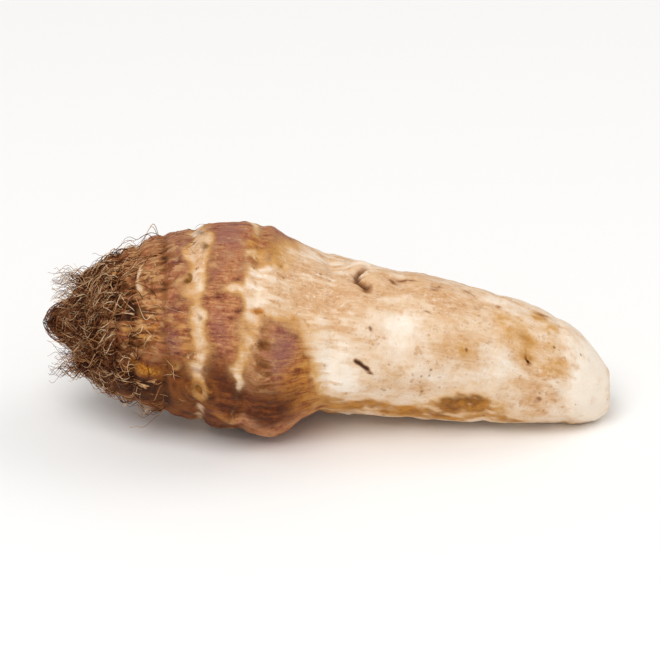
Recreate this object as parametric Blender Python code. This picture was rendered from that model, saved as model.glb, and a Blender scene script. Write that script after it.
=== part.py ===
"""Taro root (one daughter corm of taro), lying on its side on a flat surface.

The root grew as one piece, so it is one solid: a fat ringed head on the left, a tapering
body, a broken-off scar at the right-hand tip, and at the crown a pointed shoot bud ringed
by coarse dry fibres. +X runs from the crown to the tip, +Z is up, -Y is the front.
Lengths are in millimetres and angles in degrees until a point is placed, in metres.
"""

import math
import random

import bmesh
import bpy
from mathutils import Vector

MM = 0.001

# The body as stations along +X: (distance from the crown's dome, radius, height of the axis)
BUD_STATIONS = [
    (-5.4, 0.0, 23.4),
    (-4.7, 1.4, 23.3),
    (-2.7, 2.7, 23.1),
    (-0.5, 3.7, 23.0),
    (0.3, 5.0, 22.9),
]
HEAD_STATIONS = [
    (1.6, 8.0, 22.9),
    (5.5, 12.1, 22.8),
    (11.0, 15.2, 22.7),
    (17.5, 17.6, 22.7),
    (23.5, 19.5, 22.6),
    (29.0, 21.0, 22.3),
    (35.0, 21.6, 21.6),
    (40.0, 21.0, 20.6),
    (44.0, 19.4, 19.9),
]
BODY_STATIONS = [
    (48.5, 17.6, 19.8),
    (55.0, 16.6, 19.0),
    (65.0, 16.0, 17.7),
    (78.0, 15.1, 16.1),
    (90.0, 13.2, 13.5),
    (99.0, 11.4, 11.3),
    (104.5, 9.6, 9.6),
    (108.0, 7.2, 7.7),
]
TIP_SCAR_STATIONS = [
    (110.2, 4.9, 6.9),
    (111.0, 3.8, 6.7),
    (110.7, 2.0, 6.6),
    (110.4, 0.0, 6.6),
]

ROUND_COLUMNS = 60  # vertices round the body
ROWS = 76  # rows of faces from the bud's point to the middle of the tip scar

SIDE_BOW = 1.6  # how far the axis bows sideways at mid length
DEPTH_SHARE = 0.97  # front-to-back radius as a share of the upright one
REST_SINK = 0.5  # taken off the underside, so that the root rests on flats

# Leaf-scar rings: (distance from the crown, groove depth, groove width, slant, where the slant peaks)
RINGS = [
    (4.6, 0.55, 1.6, 0.4, 200),
    (8.2, 0.50, 1.7, 0.5, 20),
    (12.2, 0.60, 1.9, 0.6, 250),
    (17.9, 0.35, 1.8, 0.7, 80),
    (24.6, 0.70, 2.4, 0.8, 170),
    (35.8, 0.65, 2.6, 2.4, -10),
    (51.0, 0.40, 2.8, 2.0, 40),
    (68.0, 0.25, 3.0, 1.6, 200),
    (86.0, 0.25, 2.6, 1.5, 320),
    (100.5, 0.20, 2.2, 1.0, 120),
]
SHEATH_STEP = 0.30  # how far the dry skin stands proud just past a ring
SHEATH_FADE = 4.0  # distance over which that step dies away

# Swellings: (distance, angle, height, half length, half width). Angles go from the top towards
# the front, so 0 is the top, 90 the front, 180 the underside and 270 the back.
SWELLINGS = {
    "top_eye_lip": (58.6, -8, 1.5, 2.6, 3.0),
    "top_eye_ridge": (66.0, -3, 0.9, 8.0, 3.2),
    "front_knob": (40.0, 66, 0.9, 2.3, 2.3),
    "front_knob_low": (40.6, 78, 0.6, 1.9, 1.8),
    "under_lobe": (41.6, 141, 1.5, 4.6, 4.6),
    "under_lobe_lip": (33.5, 123, 1.0, 4.8, 1.8),
    "orange_knob": (13.0, 96, 0.9, 2.8, 2.0),
    "back_eye": (26.8, 262, 1.8, 3.6, 3.8),
    "back_lobe": (47.0, 238, 1.2, 7.0, 6.0),
    "back_knob": (71.0, 284, 0.8, 3.0, 2.6),
    "crown_eye": (15.0, 318, 1.2, 2.6, 2.8),
}
# Hollows: (distance, angle, depth, half length, half width)
HOLLOWS = {
    "beside_top_eye": (53.8, -6, 1.1, 3.4, 5.0),
    "top_flat": (81.0, 12, 0.6, 9.0, 6.5),
    "front_dimple": (94.0, 68, 0.4, 4.0, 3.5),
    "back_dent": (60.0, 250, 1.1, 8.0, 7.0),
    "back_low_dent": (88.0, 225, 0.6, 6.0, 5.0),
}

# Broad waves that keep the body from being a turned shape: (size, waves round, waves along, phase)
BROAD_WAVES = [
    (0.45, 2, 0.9, 40),
    (0.35, 3, 1.7, 200),
    (0.20, 5, 2.6, 95),
    (0.14, 7, 4.3, 310),
]

# Coarse dry fibres round the shoot bud. A spread gives the lowest and highest share of a value.
FIBRE_SEED = 11
FIBRES_PER_RING = [9, 11, 13, 11]  # on each of the first rings of the crown
FIBRE_REACH = [10.0, 11.5, 12.0, 9.5]  # the length of a fibre on each of those rings
FIBRE_LENGTH_SPREAD = (0.75, 1.1)
FIBRE_THICKNESS = 0.8
FIBRE_TAPER = 0.35  # share of the thickness that is lost by the free end
FIBRE_POINTS = 5
FIBRE_ROOT_DEPTH = 1.6  # sunk into the body
FIBRE_LIFT = 1.9  # how far a fibre bows clear of the skin
FIBRE_LIFT_SPREAD = (0.5, 1.3)
FIBRE_LIFT_LENGTH = 0.83  # share of a fibre's length over which it rises
FIBRE_SCATTER = 6.0  # angle by which a fibre strays from its even place on the ring
FIBRE_TWIST = 26.0  # most that a fibre turns round the axis on its way
FIBRE_LEAST_ALONG = 2.0  # nearer the crown than this, fibres keep the outline found here
GOLDEN_ANGLE = 137.508
FLOOR_CLEARANCE = 1.5  # no fibre comes nearer the surface that the root rests on
WELD_DISTANCE = 0.01

SKIN_COLOUR = (0.62, 0.40, 0.22, 1.0)
SKIN_ROUGHNESS = 0.72

STATIONS = BUD_STATIONS + HEAD_STATIONS + BODY_STATIONS + TIP_SCAR_STATIONS
BODY_LENGTH = max(station[0] for station in STATIONS)


def clear_scene():
    for old in list(bpy.data.objects):
        bpy.data.objects.remove(old, do_unlink=True)


def new_collection(name):
    collection = bpy.data.collections.new(name)
    bpy.context.scene.collection.children.link(collection)
    return collection


def smooth_between(before, start, end, after, share):
    """Catmull-Rom value a share of the way from start to end."""
    slope_in = (end - before) / 2
    slope_out = (after - start) / 2
    squared = share * share
    cubed = squared * share
    return (
        (2 * cubed - 3 * squared + 1) * start
        + (cubed - 2 * squared + share) * slope_in
        + (3 * squared - 2 * cubed) * end
        + (cubed - squared) * slope_out
    )


def station_at(place):
    """Distance, radius and axis height at a fractional index into STATIONS."""
    index = min(int(place), len(STATIONS) - 2)
    share = place - index
    start, end = STATIONS[index], STATIONS[index + 1]
    before = STATIONS[max(index - 1, 0)]
    after = STATIONS[min(index + 2, len(STATIONS) - 1)]
    values = [smooth_between(*four, share) for four in zip(before, start, end, after)]
    return values[0], max(values[1], 0.0), values[2]


def outline_places():
    """Fractional indices of ROWS + 1 rows, evenly spaced along the outline."""
    steps_per_station = 12
    count = (len(STATIONS) - 1) * steps_per_station
    places = [step / steps_per_station for step in range(count + 1)]
    points = [station_at(place)[:2] for place in places]
    walked = [0.0]
    for first, second in zip(points, points[1:]):
        walked.append(walked[-1] + math.dist(first, second))
    rows = []
    step = 0
    for row in range(ROWS + 1):
        wanted = walked[-1] * row / ROWS
        while step < count - 1 and walked[step + 1] < wanted:
            step += 1
        share = (wanted - walked[step]) / (walked[step + 1] - walked[step])
        rows.append(places[step] + share * (places[step + 1] - places[step]))
    return rows


def angle_between(first, second):
    """The signed difference of two angles in degrees, from -180 to 180."""
    return (first - second + 180) % 360 - 180


def ring_relief(distance, angle):
    """Grooves at the leaf scars, and the dry skin that starts proud of each and fades."""
    relief = 0.0
    for ring_distance, depth, width, slant, slant_peak in RINGS:
        centre = ring_distance + slant * math.cos(math.radians(angle - slant_peak))
        past = distance - centre
        relief -= depth * math.exp(-((2 * past / width) ** 2))
        if past > 0:
            rise = 1 - math.exp(-((2 * past / width) ** 2))
            relief += SHEATH_STEP * rise * math.exp(-past / SHEATH_FADE)
    return relief


def patch_relief(distance, angle, radius, patches):
    """The sum of rounded swellings, each given along the body and round it."""
    relief = 0.0
    for patch_distance, patch_angle, height, half_length, half_width in patches.values():
        along = (distance - patch_distance) / half_length
        around = math.radians(angle_between(angle, patch_angle)) * radius / half_width
        relief += height * math.exp(-(along * along + around * around))
    return relief


def wave_relief(distance, angle):
    share = distance / BODY_LENGTH
    return sum(
        size * math.cos(math.radians(around * angle + phase) + 2 * math.pi * along * share)
        for size, around, along, phase in BROAD_WAVES
    )


def skin_point(distance, radius, height, angle):
    """The point of the skin, in millimetres, at an angle from the top towards the front."""
    body_share = min(radius / HEAD_STATIONS[0][1], 1.0)  # relief dies away on the bud and the tip scar
    relief = body_share * (
        ring_relief(distance, angle)
        + wave_relief(distance, angle)
        + patch_relief(distance, angle, radius, SWELLINGS)
        - patch_relief(distance, angle, radius, HOLLOWS)
    )
    reach = radius + relief
    turn = math.radians(angle)
    bow = SIDE_BOW * math.sin(math.pi * max(distance, 0.0) / BODY_LENGTH)
    return Vector(
        (
            distance,
            bow - reach * DEPTH_SHARE * math.sin(turn),
            height - REST_SINK + reach * math.cos(turn),
        )
    )


def make_body(collection):
    """A sphere's grid of vertices, each moved to its place on the root's skin."""
    mesh = bpy.data.meshes.new("taro_root")
    body = bpy.data.objects.new("taro_root", mesh)
    collection.objects.link(body)
    grid = bmesh.new()
    bmesh.ops.create_uvsphere(grid, u_segments=ROUND_COLUMNS, v_segments=ROWS, radius=1.0)
    rows = outline_places()
    for vert in grid.verts:
        row = round(math.acos(max(-1.0, min(1.0, vert.co.z))) / math.pi * ROWS)
        angle = math.degrees(math.atan2(vert.co.y, vert.co.x))
        vert.co = skin_point(*station_at(rows[row]), angle) * MM
    bmesh.ops.recalc_face_normals(grid, faces=grid.faces)
    grid.to_mesh(mesh)
    grid.free()
    return body


def rest_on_flats(body):
    """Cuts the underside off level at Z = 0 and closes it."""
    grid = bmesh.new()
    grid.from_mesh(body.data)
    cut = bmesh.ops.bisect_plane(
        grid,
        geom=grid.verts[:] + grid.edges[:] + grid.faces[:],
        plane_co=(0, 0, 0),
        plane_no=(0, 0, -1),
        clear_outer=True,
    )
    rim = [item for item in cut["geom_cut"] if isinstance(item, bmesh.types.BMEdge)]
    bmesh.ops.holes_fill(grid, edges=rim)
    bmesh.ops.recalc_face_normals(grid, faces=grid.faces)
    grid.to_mesh(body.data)
    grid.free()


def head_station(distance):
    """Radius and axis height of the head at a distance from the crown, found by halving."""
    low = len(BUD_STATIONS) - 1
    high = low + len(HEAD_STATIONS)
    while high - low > 0.001:
        middle = (low + high) / 2
        if station_at(middle)[0] < distance:
            low = middle
        else:
            high = middle
    return station_at(low)[1:]


def fibre_path(distance, angle, length, twist, lift):
    """Points of one dry fibre, which leaves a ring and sweeps over the crown towards -X."""
    points = []
    for step in range(FIBRE_POINTS):
        share = step / (FIBRE_POINTS - 1)
        along = distance - length * share
        nearest = max(along, FIBRE_LEAST_ALONG)
        radius, height = head_station(nearest)
        here = skin_point(nearest, radius, height, angle + twist * share)
        centre = Vector((here.x, 0.0, height - REST_SINK))
        outward = (here - centre).normalized()
        rise = lift * math.sin(math.pi / 2 * min(share / FIBRE_LIFT_LENGTH, 1.0))
        point = here + outward * (rise if step else -FIBRE_ROOT_DEPTH)
        point.x = along
        point.z = max(point.z, FLOOR_CLEARANCE)
        points.append(point)
    return points


def make_fibre(number, points, collection):
    """One fibre: a tapering tube of four sides, as a closed mesh."""
    curve = bpy.data.curves.new(f"fibre_{number}", "CURVE")
    curve.dimensions = "3D"
    curve.bevel_depth = FIBRE_THICKNESS / 2 * MM
    curve.bevel_resolution = 0
    curve.use_fill_caps = True
    spline = curve.splines.new("POLY")
    spline.points.add(len(points) - 1)
    for index, (place, point) in enumerate(zip(spline.points, points)):
        place.co = (*(point * MM), 1.0)
        place.radius = 1.0 - FIBRE_TAPER * index / (len(points) - 1)
    guide = bpy.data.objects.new(f"fibre_guide_{number}", curve)
    collection.objects.link(guide)
    graph = bpy.context.evaluated_depsgraph_get()
    mesh = bpy.data.meshes.new_from_object(guide.evaluated_get(graph))
    bpy.data.objects.remove(guide, do_unlink=True)
    grid = bmesh.new()
    grid.from_mesh(mesh)
    bmesh.ops.remove_doubles(grid, verts=grid.verts, dist=WELD_DISTANCE * MM)
    bmesh.ops.recalc_face_normals(grid, faces=grid.faces)
    grid.to_mesh(mesh)
    grid.free()
    collection.objects.link(bpy.data.objects.new(f"fibre_{number}", mesh))


def make_fibres(collection):
    """Rings of fibres round the shoot bud, a golden angle apart so that none line up."""
    draw = random.Random(FIBRE_SEED)
    number = 0
    for (distance, *_), count, reach in zip(RINGS, FIBRES_PER_RING, FIBRE_REACH):
        for index in range(count):
            stray = number * GOLDEN_ANGLE % (2 * FIBRE_SCATTER)
            stray += draw.uniform(-FIBRE_SCATTER, FIBRE_SCATTER)
            angle = index * 360 / count + stray
            length = reach * draw.uniform(*FIBRE_LENGTH_SPREAD)
            twist = draw.uniform(-FIBRE_TWIST, FIBRE_TWIST)
            lift = FIBRE_LIFT * draw.uniform(*FIBRE_LIFT_SPREAD)
            make_fibre(number, fibre_path(distance, angle, length, twist, lift), collection)
            number += 1


def fuse_fibres(body, fibres):
    """Joins every fibre to the body in one solid, then removes the loose ones."""
    union = body.modifiers.new("join fibres", "BOOLEAN")
    union.operation = "UNION"
    union.operand_type = "COLLECTION"
    union.collection = fibres
    union.solver = "EXACT"
    graph = bpy.context.evaluated_depsgraph_get()
    joined = bpy.data.meshes.new_from_object(body.evaluated_get(graph))
    body.modifiers.clear()
    body.data = joined
    for fibre in list(fibres.objects):
        bpy.data.objects.remove(fibre, do_unlink=True)
    bpy.data.collections.remove(fibres)


def centre_on_origin(body):
    """Puts the middle of the bounding box's base at the origin."""
    corners = [Vector(corner) for corner in body.bound_box]
    middle_x = (min(c.x for c in corners) + max(c.x for c in corners)) / 2
    middle_y = (min(c.y for c in corners) + max(c.y for c in corners)) / 2
    for vert in body.data.vertices:
        vert.co -= Vector((middle_x, middle_y, 0.0))


def skin_material():
    material = bpy.data.materials.new("taro_skin")
    material.use_nodes = True
    shader = material.node_tree.nodes["Principled BSDF"]
    shader.inputs["Base Color"].default_value = SKIN_COLOUR
    shader.inputs["Roughness"].default_value = SKIN_ROUGHNESS
    shader.inputs["Metallic"].default_value = 0.0
    return material


def main():
    clear_scene()
    root = new_collection("taro_root")
    fibres = new_collection("crown_fibres")
    body = make_body(root)
    rest_on_flats(body)
    make_fibres(fibres)
    fuse_fibres(body, fibres)
    centre_on_origin(body)
    body.data.materials.clear()
    body.data.materials.append(skin_material())
    body.data.shade_smooth()


main()
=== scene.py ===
import math
import random

import bmesh
import bpy
import numpy as np
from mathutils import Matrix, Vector, noise


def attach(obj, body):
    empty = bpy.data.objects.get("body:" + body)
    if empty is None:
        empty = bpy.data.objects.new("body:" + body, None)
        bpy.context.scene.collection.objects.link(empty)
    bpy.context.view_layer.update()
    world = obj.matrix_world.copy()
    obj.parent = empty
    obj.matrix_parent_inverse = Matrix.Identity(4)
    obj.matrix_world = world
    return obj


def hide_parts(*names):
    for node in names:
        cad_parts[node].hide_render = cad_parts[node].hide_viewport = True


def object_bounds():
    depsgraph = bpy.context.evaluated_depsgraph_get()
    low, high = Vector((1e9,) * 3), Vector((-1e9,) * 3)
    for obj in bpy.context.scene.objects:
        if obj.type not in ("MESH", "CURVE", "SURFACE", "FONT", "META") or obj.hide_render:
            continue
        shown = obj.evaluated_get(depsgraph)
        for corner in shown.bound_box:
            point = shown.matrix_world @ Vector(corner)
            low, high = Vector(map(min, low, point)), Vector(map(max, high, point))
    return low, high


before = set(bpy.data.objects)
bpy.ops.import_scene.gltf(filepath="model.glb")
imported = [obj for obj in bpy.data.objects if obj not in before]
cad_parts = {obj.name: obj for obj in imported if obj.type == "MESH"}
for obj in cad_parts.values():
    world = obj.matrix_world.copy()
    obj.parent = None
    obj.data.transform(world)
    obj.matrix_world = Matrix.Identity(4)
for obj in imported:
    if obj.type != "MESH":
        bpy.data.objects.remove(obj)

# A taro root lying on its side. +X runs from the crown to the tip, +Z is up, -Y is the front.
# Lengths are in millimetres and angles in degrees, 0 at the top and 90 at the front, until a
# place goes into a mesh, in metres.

mm = 0.001
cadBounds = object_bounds()
print("frame loaded:", sorted(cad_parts))


# The root's form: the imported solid's own values, on a finer grid

rootForm = {
    "rows": 304,
    "columns": 320,
    "samples": 24,  # between one station and the next
    "stations": [  # distance from the crown's dome, radius, height of the axis
        (-5.4, 0.0, 23.4),
        (-4.7, 1.4, 23.3),
        (-2.7, 2.7, 23.1),
        (-0.5, 3.7, 23.0),
        (0.3, 5.0, 22.9),
        (1.6, 8.0, 22.9),
        (5.5, 12.1, 22.8),
        (11.0, 15.2, 22.7),
        (17.5, 17.6, 22.7),
        (23.5, 19.5, 22.6),
        (29.0, 21.0, 22.3),
        (35.0, 21.6, 21.6),
        (40.0, 21.0, 20.6),
        (44.0, 19.4, 19.9),
        (48.5, 17.6, 19.8),
        (55.0, 16.6, 19.0),
        (65.0, 16.0, 17.7),
        (78.0, 15.1, 16.1),
        (90.0, 13.2, 13.5),
        (99.0, 11.4, 11.3),
        (104.5, 9.6, 9.6),
        (108.0, 7.2, 7.7),
        (110.2, 4.9, 6.9),
        (111.0, 3.8, 6.7),
        (110.7, 2.0, 6.6),
        (110.4, 0.0, 6.6),
    ],
    "plainRadius": 8.0,  # relief dies away where the root is thinner than this
    "sideBow": 1.6,
    "depthShare": 0.97,
    "restSink": 0.5,
    "sheathStep": 0.30,
    "sheathFade": 4.0,
    "rings": [  # distance, groove depth, groove width, slant, where the slant peaks
        (4.6, 0.55, 1.6, 0.4, 200),
        (8.2, 0.50, 1.7, 0.5, 20),
        (12.2, 0.60, 1.9, 0.6, 250),
        (17.9, 0.35, 1.8, 0.7, 80),
        (24.6, 0.70, 2.4, 0.8, 170),
        (35.8, 0.65, 2.6, 2.4, -10),
        (51.0, 0.40, 2.8, 2.0, 40),
        (68.0, 0.25, 3.0, 1.6, 200),
        (86.0, 0.25, 2.6, 1.5, 320),
        (100.5, 0.20, 2.2, 1.0, 120),
    ],
    "swellings": [  # distance, angle, height, half length, half width
        (58.6, -8, 1.5, 2.6, 3.0),
        (66.0, -3, 0.9, 8.0, 3.2),
        (40.0, 66, 0.9, 2.3, 2.3),
        (40.6, 78, 0.6, 1.9, 1.8),
        (41.6, 141, 1.5, 4.6, 4.6),
        (33.5, 123, 1.0, 4.8, 1.8),
        (13.0, 96, 0.9, 2.8, 2.0),
        (26.8, 262, 1.8, 3.6, 3.8),
        (47.0, 238, 1.2, 7.0, 6.0),
        (71.0, 284, 0.8, 3.0, 2.6),
        (15.0, 318, 1.2, 2.6, 2.8),
        (53.8, -6, -1.1, 3.4, 5.0),
        (81.0, 12, -0.6, 9.0, 6.5),
        (94.0, 68, -0.4, 4.0, 3.5),
        (60.0, 250, -1.1, 8.0, 7.0),
        (88.0, 225, -0.6, 6.0, 5.0),
    ],
    "waves": [  # size, waves round, waves along, phase
        (0.45, 2, 0.9, 40),
        (0.35, 3, 1.7, 200),
        (0.20, 5, 2.6, 95),
        (0.14, 7, 4.3, 310),
    ],
}
rootLength = max(station[0] for station in rootForm["stations"])


def smoothBetween(before, start, end, after, share):  # Catmull-Rom
    slopeIn = (end - before) / 2
    slopeOut = (after - start) / 2
    squared = share * share
    cubed = squared * share
    return ((2 * cubed - 3 * squared + 1) * start + (cubed - 2 * squared + share) * slopeIn
            + (3 * squared - 2 * cubed) * end + (cubed - squared) * slopeOut)


def traceOutline(stations):  # walked length, distance, radius and axis height, finely sampled
    points = np.array(stations)
    shares = np.linspace(0, 1, rootForm["samples"], endpoint=False)[:, None]
    runs = []
    for index in range(len(points) - 1):
        before = points[max(index - 1, 0)]
        after = points[min(index + 2, len(points) - 1)]
        runs.append(smoothBetween(before, points[index], points[index + 1], after, shares))
    outline = np.vstack(runs + [points[-1:]])
    outline[:, 1] = np.maximum(outline[:, 1], 0)
    steps = np.hypot(*np.diff(outline[:, :2], axis=0).T)
    return np.column_stack([np.concatenate([[0], np.cumsum(steps)]), outline])


outline = traceOutline(rootForm["stations"])


def angleBetween(first, second):  # signed, from -180 to 180
    return (first - second + 180) % 360 - 180


# How far past a ring a place is, and how deep in its groove
def ringShare(along, angle, distance, width, slant, slantPeak):
    past = along - distance - slant * np.cos(np.radians(angle - slantPeak))
    return past, np.exp(-(2 * past / width) ** 2)


def ringRelief(along, angle):
    relief = 0
    for distance, depth, *groovePlace in rootForm["rings"]:
        past, groove = ringShare(along, angle, distance, *groovePlace)
        fade = np.exp(-np.maximum(past, 0) / rootForm["sheathFade"])
        step = rootForm["sheathStep"] * (1 - groove) * fade
        relief = relief - depth * groove + np.where(past > 0, step, 0)
    return relief


def offsetFrom(along, angle, radius, distance, turn):  # from a place on the skin, along the root and round it
    return along - distance, np.radians(angleBetween(angle, turn)) * radius


# Soft ovals, each a distance, an angle, a strength, a half length and a half width
def sumPatches(patches, along, angle, radius):
    total = np.zeros(np.shape(along))
    for distance, turn, strength, halfLength, halfWidth in patches:
        lengthwise, across = offsetFrom(along, angle, radius, distance, turn)
        total += strength * np.exp(-((lengthwise / halfLength) ** 2 + (across / halfWidth) ** 2))
    return total


def formRelief(along, angle, radius):
    waves = 0
    for size, around, lengthwise, phase in rootForm["waves"]:
        turn = np.radians(around * angle + phase) + 2 * math.pi * lengthwise * along / rootLength
        waves = waves + size * np.cos(turn)
    swellings = sumPatches(rootForm["swellings"], along, angle, radius)
    return np.minimum(radius / rootForm["plainRadius"], 1) * (ringRelief(along, angle) + waves + swellings)


def placeOnForm(along, angle, radius, height, relief):  # before it is centred, in millimetres
    reach = radius + relief
    turn = np.radians(angle)
    bow = rootForm["sideBow"] * np.sin(math.pi * np.maximum(along, 0) / rootLength)
    return np.column_stack([
        along,
        bow - reach * rootForm["depthShare"] * np.sin(turn),
        height - rootForm["restSink"] + reach * np.cos(turn),
    ])


def smoothStep(low, high, value):
    share = np.clip((value - low) / (high - low), 0, 1)
    return share * share * (3 - 2 * share)


def addObject(name, data):
    thing = bpy.data.objects.new(name, data)
    bpy.context.scene.collection.objects.link(thing)
    return thing


def meshFrom(name, grid):
    mesh = bpy.data.meshes.new(name)
    grid.to_mesh(mesh)
    grid.free()
    return mesh


def noiseField(points, sizes, octaves, shift):  # about -0.6 to 0.6, with blobs of those sizes
    scaled = points / np.array(sizes) + shift
    return np.array([noise.fractal(Vector(point), 1.0, 2.0, octaves) for point in scaled])


# Skin: fine relief and what is painted on it

skinDetail = {
    "grainRadius": 17.0,  # the grain is laid out on a cylinder of this radius
    "grainSpread": 1.4,  # which narrows near the ends, to this many times the root's own radius
    "fields": {  # noises over the skin: size of the blobs, octaves, and a shift that sets each apart
        "lumps": ((7.0, 7.0, 7.0), 2, 3.1),
        "dimples": ((2.4, 2.4, 2.4), 3, 8.7),
        "lengthwiseDrift": ((5.0, 5.0, 5.0), 3, 21.0),
        "sidewaysDrift": ((5.0, 5.0, 5.0), 3, 47.0),
        "streaks": ((6.0, 1.1, 1.1), 3, 11.0),
        "blotches": ((4.0, 3.0, 3.0), 3, 33.0),
        "flakes": ((2.8, 1.3, 1.3), 3, 71.0),
        "patches": ((9.0, 6.0, 6.0), 2, 5.0),
    },
    "heights": {"lumps": 0.26, "dimples": 0.13},
    "streakHeights": (0.05, 0.16, 0.45),  # on bare skin, on the sheath, and added where it is flaky
    "sheathThickness": 0.16,
    "sheathEdge": (0.35, 0.65),  # shares of cover between which the sheath gains its thickness
    "flakeThickness": 0.22,
    "rimWidth": 0.38,  # of a scar's rim and of its pit, as shares of the scar's radius
    "pitWidth": 0.5,
    "scars": [  # root scars: distance, angle, radius, rim height, pit depth, rim colour, pit darkness
        (25.4, 103, 2.0, 0.45, 0.80, 1.3, 0.45),
        (20.6, 89, 0.95, 0.30, 0.45, 1.3, 0.35),
        (104.6, 30, 0.5, 0.05, 0.12, 0.1, 0.30),
        (99.0, 36, 0.6, 0.05, 0.15, 0.2, 0.50),
        (42.4, 16, 1.4, 0.25, 0.25, 0.7, 0.20),
        (37.3, 87, 1.3, 0.25, 0.25, 0.3, 0.02),
        (93.3, 58, 0.6, 0.10, 0.30, 0.1, 0.80),
    ],
    "scarStretch": 1.1,  # they are longer round the root than along it
    "mounds": [  # distance, angle, height, half length, half width
        (25.4, 106, 1.0, 2.2, 2.8),
        (14.0, 94, 0.7, 2.5, 1.9),
        (20.5, 89, 0.3, 1.5, 1.5),
        (37.3, 87, 0.35, 2.0, 2.0),
        (61.6, 9, 0.9, 2.2, 2.2),
        (93.5, 58, 0.25, 2.0, 2.0),
    ],
    "hiddenScars": {  # more of them, on the sides that the photograph doesn't show
        "seed": 5,
        "count": 26,
        "rings": (2, 8),  # from the third ring to the eighth
        "pastRing": (-2.5, 5.0),
        "angle": (155, 345),
        "radius": (0.6, 1.4),
        "rimShare": 0.24,
        "pitShare": 0.34,
        "rimColour": (0.1, 0.8),
        "pitDarkness": 0.35,
    },
    "crescents": [  # the crevice beside an eye: distance, angle, radius, facing, width, depth, and darkness, which is painted shade in the crevice
        (61.4, 9, 3.5, 175, 0.8, 1.5, 0.95),
        (28.6, 262, 3.4, 180, 0.6, 0.7, 0.55),
        (40.4, 66, 2.2, 190, 0.5, 0.4, 0.25),
        (16.6, 318, 2.8, 180, 0.5, 0.6, 0.5),
        (73.0, 284, 2.5, 180, 0.45, 0.5, 0.4),
    ],
    "crescentEnds": (100, 40),  # angles from its middle where it has died away and where it is full
    "crescentWander": 0.8,  # how far the streaks carry it
}


def scarList():
    look = skinDetail["hiddenScars"]
    draw = random.Random(look["seed"])
    places = list(skinDetail["scars"])
    first, last = look["rings"]
    ringPlaces = [ring[0] for ring in rootForm["rings"][first:last]]
    for number in range(look["count"]):
        along = draw.choice(ringPlaces) + draw.uniform(*look["pastRing"])
        angle = draw.uniform(*look["angle"])
        radius = draw.uniform(*look["radius"])
        rimColour = draw.uniform(*look["rimColour"])
        rim, pit = look["rimShare"] * radius, look["pitShare"] * radius
        places.append((along, angle, radius, rim, pit, rimColour, look["pitDarkness"]))
    return places


scars = scarList()


def awayFromScar(skin, distance, turn):
    stretched = skin["radius"] / skinDetail["scarStretch"]
    return np.hypot(*offsetFrom(skin["along"], skin["angle"], stretched, distance, turn))


def crescentShare(skin, distance, turn, size, opening, width):
    lengthwise, across = offsetFrom(skin["along"], skin["angle"], skin["radius"], distance, turn)
    facing = np.degrees(np.arctan2(across, lengthwise))
    share = smoothStep(*skinDetail["crescentEnds"], np.abs(angleBetween(facing, opening)))
    away = np.hypot(lengthwise, across) + skinDetail["crescentWander"] * skin["streaks"]
    return share * np.exp(-((away - size) / width) ** 2)


def skinField(skin, name):
    return noiseField(skin["grain"], *skinDetail["fields"][name])


def fineRelief(skin):
    along, angle, radius = skin["along"], skin["angle"], skin["radius"]
    relief = sum(height * skinField(skin, name) for name, height in skinDetail["heights"].items())
    bareHeight, sheathHeight, flakyHeight = skinDetail["streakHeights"]
    relief += skin["streaks"] * (bareHeight + sheathHeight * skin["sheath"] + flakyHeight * skin["rough"])
    relief += skinDetail["sheathThickness"] * smoothStep(*skinDetail["sheathEdge"], skin["sheath"])
    relief += skinDetail["flakeThickness"] * skin["flaky"]
    relief += sumPatches(skinDetail["mounds"], along, angle, radius)
    for distance, turn, size, rim, pit, *_ in scars:
        away = awayFromScar(skin, distance, turn)
        rimHeight = rim * np.exp(-((away - size) / (skinDetail["rimWidth"] * size)) ** 2)
        pitDepth = pit * np.exp(-(away / (skinDetail["pitWidth"] * size)) ** 2)
        relief += rimHeight - pitDepth
    for *place, depth, _ in skinDetail["crescents"]:
        relief -= depth * crescentShare(skin, *place)
    return relief * np.minimum(radius / rootForm["plainRadius"], 1)


# Painted cover, one list of soft ovals for each colour: distance, angle, strength, half length, half width

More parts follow.
